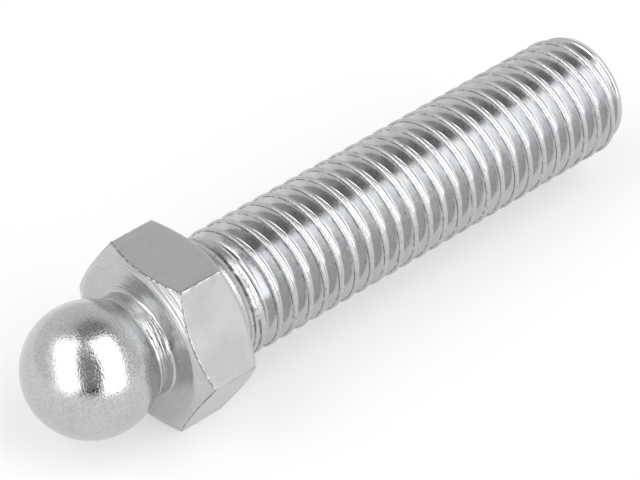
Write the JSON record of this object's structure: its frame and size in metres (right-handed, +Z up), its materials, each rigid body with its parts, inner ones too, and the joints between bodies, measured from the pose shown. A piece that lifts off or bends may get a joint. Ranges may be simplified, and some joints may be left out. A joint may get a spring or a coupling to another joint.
{
  "type": "threaded ball stud",
  "caption": "Zinc-plated steel ball stud: a turned ball on a short neck, a bevelled hexagon to turn it by, and a right-hand metric threaded shank with a tapered end.",
  "frame": {"origin": "the centre of the ball", "axes": "+X along the stud's axis from the ball towards the threaded end; +Z straight up out of one flat of the hexagon, so the part lies on the opposite flat; -Y towards the viewer"},
  "size_m": [0.0545, 0.015, 0.013],
  "materials": {
    "turned_zinc": "bright zinc plating over turned and drawn steel, satin",
    "rolled_zinc": "bright zinc plating over a rolled thread, semi-gloss"
  },
  "bodies": {
    "root": {"ball_head": "turned_zinc", "threaded_stud": "rolled_zinc"}
  },
  "joints": []
}
